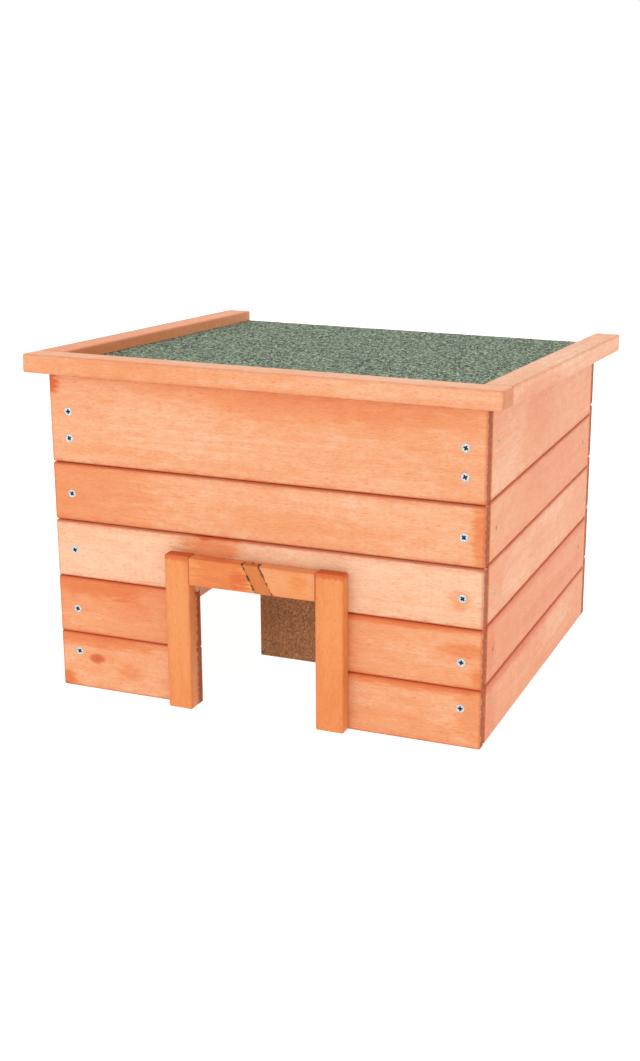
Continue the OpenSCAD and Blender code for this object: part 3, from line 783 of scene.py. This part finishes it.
def bead_tree():
    """A tree that turns lines into ragged beads."""
    g, given = geometry_group("glue_bead", [
        ("Geometry", "Geometry", None), ("Step", "Float", 0.4 * MM), ("Thickness", "Float", 0.95 * MM),
        ("Seed", "Float", 3.0), ("Material", "Material", None)])
    line = g.out("GeometryNodeMeshToCurve", None, {"Mesh": given["Geometry"]})
    fine = g.out("GeometryNodeResampleCurve", {"mode": "LENGTH"}, {"Curve": line, "Length": given["Step"]})
    place = g.out("GeometryNodeInputPosition")
    seeded = g.vector("ADD", place, g.xyz(given["Seed"], 0.0, 0.0))
    wander = g.vector("SUBTRACT", g.noise(seeded, 420.0, 2.0, output=1), (0.5, 0.5, 0.5))
    moved = g.out("GeometryNodeSetPosition", None,
                  {"Geometry": fine, "Offset": g.vector("MULTIPLY", wander, (1.2 * MM, 0.0, 0.4 * MM))})
    lumps = g.ease(g.noise(seeded, 300.0, 3.0), 0.42, 0.62) + 0.02
    thick = g.out("GeometryNodeSetCurveRadius", None, {"Curve": moved, "Radius": lumps})
    ring = g.out("GeometryNodeCurvePrimitiveCircle", None, {"Resolution": 8, "Radius": given["Thickness"]})
    bead = g.out("GeometryNodeCurveToMesh", None,
                 {"Curve": thick, "Profile Curve": ring, "Scale": lumps, "Fill Caps": True})
    return finish_group(g, crisp(g, bead, 60.0), given["Material"])


def line_mesh(name, lines):
    """A mesh of open lines, each a list of points."""
    data = bpy.data.meshes.new(name)
    points = [point for line in lines for point in line]
    edges, start = [], 0
    for line in lines:
        edges += [(start + i, start + i + 1) for i in range(len(line) - 1)]
        start += len(line)
    data.from_pydata(points, edges, [])
    return data


corners = slanted(0.0, patch_low.z + 0.5 * MM, patch_high.z)
left_foot, right_foot, right_top, left_top = [Vector((x, patch_low.y, z)) for x, z in corners]
seat_depth = Vector((0.0, patch_high.y - patch_low.y, 0.0))
left_back, right_back = left_top + seat_depth, right_top + seat_depth
glue_lines = line_mesh("glue_lines", [[left_foot, left_top, left_back, right_back],
                                      [right_foot, right_top, right_back]])
glue = make_piece("lintel_glue", bead_tree(), {"Material": glue_material()}, glue_lines)
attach(glue, "house")
print("glue triangles:", triangles(glue))

# %% [markdown]
# ## Inside the house
#
# Behind the doorway stands a partition of particle board, with a gap at its left that leads round to the
# nest. The posts in the corners and the cleat are plain softwood that never met the stain.

# %% Particle board
def particle_board():
    """Pressed wood flakes: cells in browns, a few of them pale or dark, under fine dust."""
    material, g, shader = material_graph("particle_board")
    place = object_place(g)
    stretch = g.vector("MULTIPLY", place, (1.0, 1.0, 0.8))
    flakes = g.node("ShaderNodeTexVoronoi", None, {"Vector": stretch, "Scale": 760.0})
    shade = g.split(Wire(g, flakes.outputs["Color"]))
    colour = g.mix(g.ease(shade[0], 0.0, 1.0, kind="LINEAR"), rgb(146, 92, 50), rgb(186, 128, 78))
    colour = g.mix(g.ease(shade[1], 0.8, 0.88) * 0.7, colour, rgb(212, 160, 104))
    colour = g.mix(g.ease(shade[2], 0.84, 0.9) * 0.6, colour, rgb(96, 58, 30))
    dust = g.noise(place, 1500.0, 3.0, 0.7)
    colour = g.mix(g.ease(dust, 0.35, 0.7) * 0.4, colour, rgb(124, 78, 42))
    clouds = g.noise(place, 16.0, 2.0)
    colour = g.mix(g.ease(clouds, 0.3, 0.75) * 0.3, colour, rgb(120, 76, 42))
    relief = g.out("ShaderNodeBump", None,
                   {"Strength": 0.4, "Distance": 0.25 * MM, "Height": shade[0] + dust})
    coat(g, shader, colour, 0.62 + dust * 0.25, relief)
    return material


PARTICLE = particle_board()
partition_nails = heads_of("partition_nails", FRONT)
board("partition_panel", "house", "x", PARTICLE, 71, edge=0.5, end=0.5, wave=0.3,
      cuts=[sinks(partition_nails, FRONT, NAIL_HEAD_R + NAIL_ROOM, NAIL_R)])
board("partition_cleat", "house", "z", BARE_WOOD, 72, 0.4, 0.4, edge=1.0, end=0.8)
for index, corner in enumerate(("front_left", "front_right", "rear_left", "rear_right")):
    board("corner_post_" + corner, "house", "z", BARE_WOOD, 73 + index, 0.45, 0.5, edge=1.2, end=0.8)

# %% [markdown]
# ## The roof's timber
#
# Three rims stand round the felt, and a thin panel carries it. Under the panel are a cross batten and the
# batten that the hinges screw to. All of them slope with the roof, so each is sawn level in the roof's
# frame and turned with it.

# %% Rims, panel and battens
panel_low, panel_high = turned_box("roof_panel", ON_ROOF)
felt_low, felt_high = turned_box("roof_felt", ON_ROOF)
AIR = 0.1 * MM
rabbet = block(Vector((panel_low.x - AIR, panel_low.y - AIR, panel_low.z - 2 * MM)),
               Vector((panel_high.x + AIR, felt_high.y + 9 * MM, felt_high.z + AIR)), ON_ROOF)
board("roof_rim_front", "roof", "x", RIM_WOOD, 81, 0.34, 0.4, edge=1.6, end=1.6, turn=ON_ROOF, cuts=[rabbet])
board("roof_rim_left", "roof", "y", RIM_WOOD, 82, 0.7, 0.35, edge=1.6, turn=ON_ROOF, cuts=[rabbet])
board("roof_rim_right", "roof", "y", RIM_WOOD, 83, 0.32, 0.35, edge=1.6, turn=ON_ROOF, cuts=[rabbet])
board("roof_panel", "roof", "x", BARE_WOOD, 84, 0.35, 0.5, edge=0.4, end=0.4, wave=0.0, turn=ON_ROOF)
board("roof_hinge_batten", "roof", "x", BARE_WOOD, 85, 0.5, 0.5, edge=1.0, end=0.8, turn=ON_ROOF)
board("roof_cross_batten", "roof", "x", BARE_WOOD, 86, 0.5, 0.5, edge=1.0, end=0.8, turn=ON_ROOF)

# %% [markdown]
# ## Screws and nails
#
# A screw is a turned part, so its mesh is a cylinder whose rows of points are moved to follow the screw's
# outline: the flat head, the cone under it, the shank and the tip. A cross-shaped recess is cut from the
# head. The same function makes the nails' tree, with no recess, and their zinc is duller. Each group sits
# on the points where its CAD fasteners have their heads, and a seeded spin turns every recess its own way.

# %% Zinc
def zinc_material(name, dull, bright):
    """Zinc plating: a little blotchy between two colours, and darker down in the recess, which is painted
    shade with some dirt, and round the head's bevelled edge, which is painted shade.
    """
    material, g, shader = material_graph(name)
    place = object_place(g)
    blotches = g.noise(place, 700.0, 3.0)
    scratches = g.noise(g.vector("MULTIPLY", place, (1.0, 1.0, 6.0)), 2400.0, 2.0)
    below = g.split(attribute(g, "below_head"))[2]
    # Painted shade with some dirt down in the recess, and painted shade round the head's bevelled edge and
    # below it.
    recess_shade_and_dirt = g.ease(below, -0.2 * MM, -0.8 * MM)
    rim = g.ease(below, -0.02 * MM, -0.14 * MM)
    colour = g.mix(g.ease(blotches, 0.3, 0.7), dull, bright)
    colour = g.mix(rim * 0.75, colour, rgb(86, 78, 64))
    colour = g.mix(recess_shade_and_dirt * 0.93, colour, rgb(40, 50, 50))
    coat(g, shader, colour, 0.3 + blotches * 0.12 + scratches * 0.12 + recess_shade_and_dirt * 0.2)
    g.feed(shader.inputs["Metallic"], 0.85 - recess_shade_and_dirt * 0.4)
    return material


ZINC = zinc_material("zinc_plate", rgb(166, 178, 182), rgb(214, 220, 222))
# A darker, duller zinc for the nails.
DULL_ZINC = zinc_material("dull_zinc", rgb(112, 106, 86), rgb(196, 188, 164))


# %% The turned fastener
def fastener_tree(name, recess=False):
    """A tree that turns one fastener and stands a copy of it on every point."""
    g, given = geometry_group(name, [
        ("Geometry", "Geometry", None), ("Head radius", "Float", SCREW_HEAD_R),
        ("Shank radius", "Float", SCREW_R), ("Head rim", "Float", 0.3 * MM),
        ("Cone", "Float", 1.8 * MM), ("Length", "Float", 28 * MM),
        ("Outward", "Vector", None), ("Spin seed", "Int", 5), ("Material", "Material", None)])
    head, shank, length = given["Head radius"], given["Shank radius"], given["Length"]
    bevel = 0.18 * MM
    under = bevel + given["Head rim"]
    outline = [(head - bevel, 0.0), (head, -bevel), (head, 0.0 - under), (shank, 0.0 - under - given["Cone"]),
               (shank, shank * 2 - length), (shank * 0.1, 0.0 - length)]
    rows = len(outline) - 1
    rod = g.out("GeometryNodeMeshCylinder", {"fill_type": "NGON"},
                {"Vertices": 24, "Side Segments": rows, "Radius": 1.0, "Depth": 2.0})
    x, y, z = g.split(g.out("GeometryNodeInputPosition"))
    row = (1 - z) * (rows / 2)
    radius = g.through(row, [(i, r) for i, (r, _) in enumerate(outline)])
    height = g.through(row, [(i, h) for i, (_, h) in enumerate(outline)])
    turned = g.out("GeometryNodeSetPosition", None,
                   {"Geometry": rod, "Position": g.xyz(x * radius, y * radius, height)})
    if recess:
        # Two crossed bars, half as wide at the bottom as in the middle, are cut from the head.
        arm, slit, depth = head * 1.12, head * 0.42, head * 0.5
        for size in ((arm, slit, depth), (slit, arm, depth)):
            bar = g.out("GeometryNodeMeshCube", None, {"Size": g.xyz(*size)})
            bx, by, bz = g.split(g.out("GeometryNodeInputPosition"))
            narrow = g.ease(bz / depth, -0.5, 0.5, 0.5, 1.15, "LINEAR")
            bar = g.out("GeometryNodeSetPosition", None,
                        {"Geometry": bar, "Position": g.xyz(bx * narrow, by * narrow, bz - depth * 0.3)})
            turned = g.out("GeometryNodeMeshBoolean", {"operation": "DIFFERENCE", "solver": "EXACT"},
                           {"Mesh 1": turned, "Mesh 2": bar})
    turned = g.out("GeometryNodeStoreNamedAttribute", {"data_type": "FLOAT_VECTOR", "domain": "POINT"},
                   {"Geometry": turned, "Name": "below_head", "Value": g.out("GeometryNodeInputPosition")})
    points = g.out("GeometryNodeMeshToPoints", None, {"Mesh": given["Geometry"]})
    upright = g.out("FunctionNodeAlignRotationToVector", {"axis": "Z"}, {"Vector": given["Outward"]})
    angle = g.out("FunctionNodeRandomValue", {"data_type": "FLOAT"},
                  {2: 0.0, 3: math.tau, "Seed": given["Spin seed"]}, 1)
    spin = g.out("FunctionNodeEulerToRotation", None, {0: g.xyz(0.0, 0.0, angle)})
    turn = g.out("FunctionNodeRotateRotation", {"rotation_space": "LOCAL"}, {0: upright, 1: spin})
    girth = g.out("GeometryNodeInputNamedAttribute", {"data_type": "FLOAT"}, {"Name": "girth"})
    standing = g.out("GeometryNodeInstanceOnPoints", None, {
        "Points": points, "Instance": crisp(g, turned), "Rotation": turn, "Scale": g.xyz(girth, girth, 1.0)})
    return finish_group(g, standing, given["Material"])


SCREW = fastener_tree("cross_head_screw", recess=True)
NAIL = fastener_tree("flat_head_nail")


def fasteners(name, tree, node, body, outward, seed, **sizes):
    """Turns the fasteners of one CAD node whose heads face outward."""
    outward = Vector(outward)
    solids = [one for one in loose_solids(node) if abs(outward[shank_axis(one)]) > 0.9]
    points = bpy.data.meshes.new(name)
    points.from_pydata(heads_of(node, outward), [], [])
    girth = points.attributes.new("girth", "FLOAT", "POINT")
    for item, solid in zip(girth.data, solids):
        across = np.ptp(solid, axis=0)[shank_axis(solid) - 1]
        item.value = across / 2 / sizes["Head radius"]
    length = float(np.ptp(solids[0] @ np.array(outward)))
    finish = ZINC if tree is SCREW else DULL_ZINC
    piece = make_piece(name, tree, {"Length": length, "Outward": outward, "Spin seed": seed,
                                    "Material": finish, **sizes}, points)
    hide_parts(node)
    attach(piece, body)
    return piece


print("fastener trees:", SCREW.name, NAIL.name)

# %% Every screw and nail
big = {"Head radius": SCREW_HEAD_R, "Shank radius": SCREW_R, "Cone": SCREW_HEAD_R - SCREW_R,
       "Head rim": 0.2 * MM}
small = {"Head radius": 2.8 * MM, "Shank radius": 1.5 * MM, "Cone": 1.3 * MM, "Head rim": 0.15 * MM}
flat = {"Head radius": NAIL_HEAD_R, "Shank radius": NAIL_R, "Cone": 0.1 * MM, "Head rim": 0.4 * MM}
# The CAD node of each group, its tree, its body, which way its heads face and its sizes.
GROUPS = {
    "front_wall_screws": ("front_wall_screws", SCREW, "house", FRONT, big),
    "rear_wall_screws": ("rear_wall_screws", SCREW, "house", REAR, big),
    "hinge_wall_screws": ("hinge_wall_screws", SCREW, "house", REAR, small),
    "hinge_roof_screws": ("hinge_roof_screws", SCREW, "roof", ROOF_DOWN, small),
    "roof_batten_screws": ("roof_batten_screws", SCREW, "roof", ROOF_UP, small),
    "left_wall_nails": ("left_wall_nails", NAIL, "house", LEFT, flat),
    "right_wall_nails": ("right_wall_nails", NAIL, "house", RIGHT, flat),
    "door_frame_nails": ("door_frame_nails", NAIL, "house", REAR, flat),
    "partition_nails": ("partition_nails", NAIL, "house", FRONT, flat),
    "cleat_nails": ("partition_nails", NAIL, "house", LEFT, flat),
    "roof_panel_nails": ("roof_panel_nails", NAIL, "roof", ROOF_DOWN, flat),
    "roof_felt_nails": ("roof_felt_nails", NAIL, "roof", ROOF_UP, flat),
}
hardware = []
for seed, (group, (node, tree, body, outward, sizes)) in enumerate(GROUPS.items(), 3):
    hardware.append(fasteners(group + "_zinc", tree, node, body, outward, seed, **sizes))
print("fastener pieces:", len(hardware), "triangles:", triangles(*hardware))

# %% [markdown]
# ## Hinges
#
# The hinge leaves and pins are pressed sheet and wire, and their CAD shapes are right as they are, with
# the rolled knuckles and countersunk holes. They stay, and only get the zinc finish.

# %% Finish on the hinges
hinge_parts = [f"hinge_{side}_{part}" for side in ("left", "right")
               for part in ("wall_leaf", "roof_leaf", "pin")]
for name in hinge_parts:
    sheet_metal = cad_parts[name].data
    sheet_metal.materials.clear()
    sheet_metal.materials.append(ZINC)
print("hinge parts finished:", len(hinge_parts))

# %% [markdown]
# ## Mineral felt
#
# Roofing felt is bitumen sheet strewn with crushed slate. From afar it is a green-grey speckle, and close
# by it is a crust of chips. The sheet is a fine grid pushed up and down by noise, which gives the crust a
# real relief in raking light, and a few thousand loose chips stand proud of it, scattered on its face by
# a geometry tree. Both take their speckle from one material.

# %% Felt material
def mineral_felt():
    """Crushed slate: chips in greens, some pale or black, in drifts drawn out down the slope."""
    material, g, shader = material_graph("mineral_felt")
    place = object_place(g)
    drift = g.vector("MULTIPLY", place, (1.0, 0.58, 1.0))
    chips = g.node("ShaderNodeTexVoronoi", None, {"Vector": drift, "Scale": 640.0})
    shade, hue, kind = g.split(Wire(g, chips.outputs["Color"]))
    gap = Wire(g, chips.outputs["Distance"])
    colour = g.mix(g.ease(shade, 0.0, 1.0, kind="LINEAR"), rgb(78, 96, 72), rgb(134, 154, 122))
    colour = g.mix(g.ease(hue, 0.6, 1.0) * 0.5, colour, rgb(104, 126, 112))
    colour = g.mix(g.ease(kind, 0.87, 0.9), colour, rgb(178, 190, 160))
    colour = g.mix(g.ease(kind, 0.22, 0.15), colour, rgb(30, 38, 30))
    clumps = g.noise(drift, 340.0, 2.0, 0.6)
    colour = g.mix(g.ease(clumps, 0.54, 0.59) * 0.95, colour, rgb(26, 36, 28))
    colour = g.mix(g.ease(clumps, 0.46, 0.38) * 0.65, colour, rgb(164, 186, 152))
    colour = g.mix(g.ease(gap, 0.45, 0.75) * 0.6, colour, rgb(36, 44, 36))
    clouds = g.noise(place, 12.0, 3.0, 0.55)
    colour = g.mix(g.ease(clouds, 0.45, 0.75) * 0.18, colour, rgb(90, 104, 88))
    relief = g.out("ShaderNodeBump", None,
                   {"Strength": 0.7, "Distance": 0.5 * MM, "Height": shade * 0.4 - gap + clumps * 0.4})
    coat(g, shader, colour, 0.8 - shade * 0.12, relief)
    return material


FELT = mineral_felt()
print("felt material nodes:", len(FELT.node_tree.nodes))

# %% Felt sheet
FELT_STEP = 1.4 * MM


def border(mesh):
    """The points round a grid's border, in order, so that the sheet is built the same each time."""
    start = next(edge for edge in mesh.edges if edge.is_boundary).link_loops[0]
    ring, loop = [], start
    while not ring or loop != start:
        ring.append(loop.vert)
        loop = loop.link_loop_next
        while not loop.edge.is_boundary:
            loop = loop.link_loop_radial_next.link_loop_next
    return ring


def felt_blank():
    """A closed sheet: a fine grid on top, plain edges and one large face below."""
    size = felt_high - felt_low
    counts = [round(size[i] / FELT_STEP) for i in (0, 1)]
    mesh = bmesh.new()
    middle = (felt_low + felt_high) / 2
    lift = Matrix.Translation((middle.x, middle.y, felt_high.z))
    bmesh.ops.create_grid(mesh, x_segments=counts[0], y_segments=counts[1], size=1.0,
                          matrix=lift @ Matrix.Diagonal((size.x / 2, size.y / 2, 1, 1)))
    ring = border(mesh)
    under = [mesh.verts.new((vert.co.x, vert.co.y, felt_low.z)) for vert in ring]
    for i in range(len(ring)):
        mesh.faces.new((ring[i - 1], under[i - 1], under[i], ring[i]))
    mesh.faces.new(under)
    bmesh.ops.recalc_face_normals(mesh, faces=mesh.faces)
    mesh.transform(ON_ROOF.to_4x4())
    data = bpy.data.meshes.new("felt_blank")
    mesh.to_mesh(data)
    mesh.free()
    return data


def crust_tree():
    """A tree that pushes a sheet's upward face up and down by noise."""
    g, given = geometry_group("felt_crust", [
        ("Geometry", "Geometry", None), ("Crust", "Float", 0.5 * MM), ("Up", "Vector", None),
        ("Seed", "Float", 4.0), ("Material", "Material", None)])
    place = g.vector("ADD", g.out("GeometryNodeInputPosition"), g.xyz(given["Seed"], 0.0, 0.0))
    facing = g.vector("DOT_PRODUCT", g.out("GeometryNodeInputNormal"), given["Up"], 1)
    chips = g.noise(place, 520.0, 2.0, 0.6) - 0.75
    swell = g.noise(place, 22.0, 1.0) - 0.5
    lift = (chips + swell * 1.2) * given["Crust"]
    moved = g.out("GeometryNodeSetPosition", None, {
        "Geometry": given["Geometry"], "Selection": facing > 0.5,
        "Offset": g.vector("MULTIPLY", given["Up"], g.xyz(lift, lift, lift))})
    return finish_group(g, crisp(g, moved, 60.0), given["Material"])


def felted(name, tree, blank):
    """Runs one of the felt's trees on a sheet and stands its piece in the CAD felt's place."""
    piece = make_piece(name, tree, {"Up": Vector(ROOF_UP), "Material": FELT}, blank)
    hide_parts("roof_felt")
    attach(piece, "roof")
    return piece


felt = felted("roof_felt_sheet", crust_tree(), felt_blank())
print("felt triangles:", triangles(felt))

# %% Loose chips
def chips_tree():
    """A tree that scatters loose chips over a sheet's upward face."""
    g, given = geometry_group("felt_chips", [
        ("Geometry", "Geometry", None), ("Density", "Float", 42000.0), ("Size", "Float", 0.75 * MM),
        ("Up", "Vector", None), ("Seed", "Int", 21), ("Material", "Material", None)])
    facing = g.vector("DOT_PRODUCT", g.out("GeometryNodeInputNormal"), given["Up"], 1)
    spots = g.out("GeometryNodeDistributePointsOnFaces", {"distribute_method": "RANDOM"}, {
        "Mesh": given["Geometry"], "Selection": facing > 0.5, "Density": given["Density"],
        "Seed": given["Seed"]})
    chip = g.out("GeometryNodeMeshIcoSphere", None, {"Radius": given["Size"], "Subdivisions": 1})
    spin = g.out("FunctionNodeRandomValue", {"data_type": "FLOAT_VECTOR"},
                 {0: (0.0, 0.0, 0.0), 1: (math.tau, math.tau, math.tau), "Seed": given["Seed"]}, 0)
    grow = g.out("FunctionNodeRandomValue", {"data_type": "FLOAT_VECTOR"},
                 {0: (0.55, 0.45, 0.3), 1: (1.15, 1.0, 0.6), "Seed": given["Seed"]}, 0)
    turn = g.out("FunctionNodeEulerToRotation", None, {0: spin})
    laid = g.out("GeometryNodeInstanceOnPoints", None,
                 {"Points": spots, "Instance": chip, "Rotation": turn, "Scale": grow})
    return finish_group(g, laid, given["Material"])


chips = felted("roof_felt_chips", chips_tree(), felt.data.copy())
print("chip triangles:", triangles(chips))

# %% [markdown]

# %% [markdown]
# ## Floor, light and camera
#
# The house stands on a plain floor that glows softly, like a light table, under a white sky, so hardly any
# shadow falls. One large soft light stands in front at the left, a weak one fills from the right, and a
# third hangs above the roof. The camera looks down a little on the right front corner.

# %% Floor and sky
WHITE = (1.0, 1.0, 1.0, 1.0)
GLOW = 0.96
FLOOR_R, FLOOR_Z = 9.0, -0.05 * MM      # the floor lies a hair under the boards' lower edges


def plain_floor():
    """A wide disc, nearly white, that glows a little."""
    mesh = bmesh.new()
    bmesh.ops.create_circle(mesh, cap_ends=True, segments=64, radius=FLOOR_R,
                            matrix=Matrix.Translation((0, 0, FLOOR_Z)))
    data = bpy.data.meshes.new("studio_floor")
    mesh.to_mesh(data)
    mesh.free()
    material, g, shader = material_graph("white_floor")
    speck = g.noise(object_place(g), 3.0, 2.0)
    coat(g, shader, g.mix(speck, rgb(156, 156, 156), rgb(162, 162, 162)), 0.9)
    shader.inputs["Emission Color"].default_value = WHITE
    shader.inputs["Emission Strength"].default_value = GLOW
    data.materials.append(material)
    floor = bpy.data.objects.new("studio_floor", data)
    bpy.context.scene.collection.objects.link(floor)
    return floor


plain_floor()
world = bpy.data.worlds.new("white_sky")
world.use_nodes = True
sky = world.node_tree.nodes["Background"]
sky.inputs["Color"].default_value = WHITE
SKY_STRENGTH = 1.0
sky.inputs["Strength"].default_value = SKY_STRENGTH
bpy.context.scene.world = world
bpy.context.scene.view_settings.view_transform = "Standard"
print("sky strength:", SKY_STRENGTH)


# %% Lights
def soft_light(name, place, aim, size, power):
    """A square light of the given size in metres and power in watts, turned to aim."""
    lamp = bpy.data.lights.new(name, "AREA")
    lamp.size, lamp.energy = size, power
    light = bpy.data.objects.new(name, lamp)
    light.location = place
    light.rotation_euler = (Vector(aim) - Vector(place)).to_track_quat("-Z", "Y").to_euler()
    bpy.context.scene.collection.objects.link(light)


MIDDLE = (0.0, 0.0, 0.15)
soft_light("key_light", (-0.9, -2.4, 1.1), MIDDLE, 1.4, 9.0)
soft_light("fill_light", (2.2, -0.9, 1.2), MIDDLE, 1.6, 0.6)
soft_light("top_light", (0.1, 0.3, 2.4), MIDDLE, 1.6, 9.0)

# %% Camera
EYE = Vector((0.55525, -1.40855, 0.57593))
LOOK = Vector((-0.3636, 0.8850, -0.2910))
ROLL = -0.26                            # degrees
SENSOR_WIDTH, LENS = 36.0, 55.57        # millimetres
eye = bpy.data.cameras.new("eye")
eye.sensor_width, eye.lens = SENSOR_WIDTH, LENS
camera = bpy.data.objects.new("eye", eye)
camera.matrix_world = (Matrix.Translation(EYE) @ LOOK.to_track_quat("-Z", "Y").to_matrix().to_4x4()
                       @ Matrix.Rotation(math.radians(ROLL), 4, "Z"))
bpy.context.scene.collection.objects.link(camera)
bpy.context.scene.camera = camera
print("lens, mm:", eye.lens)
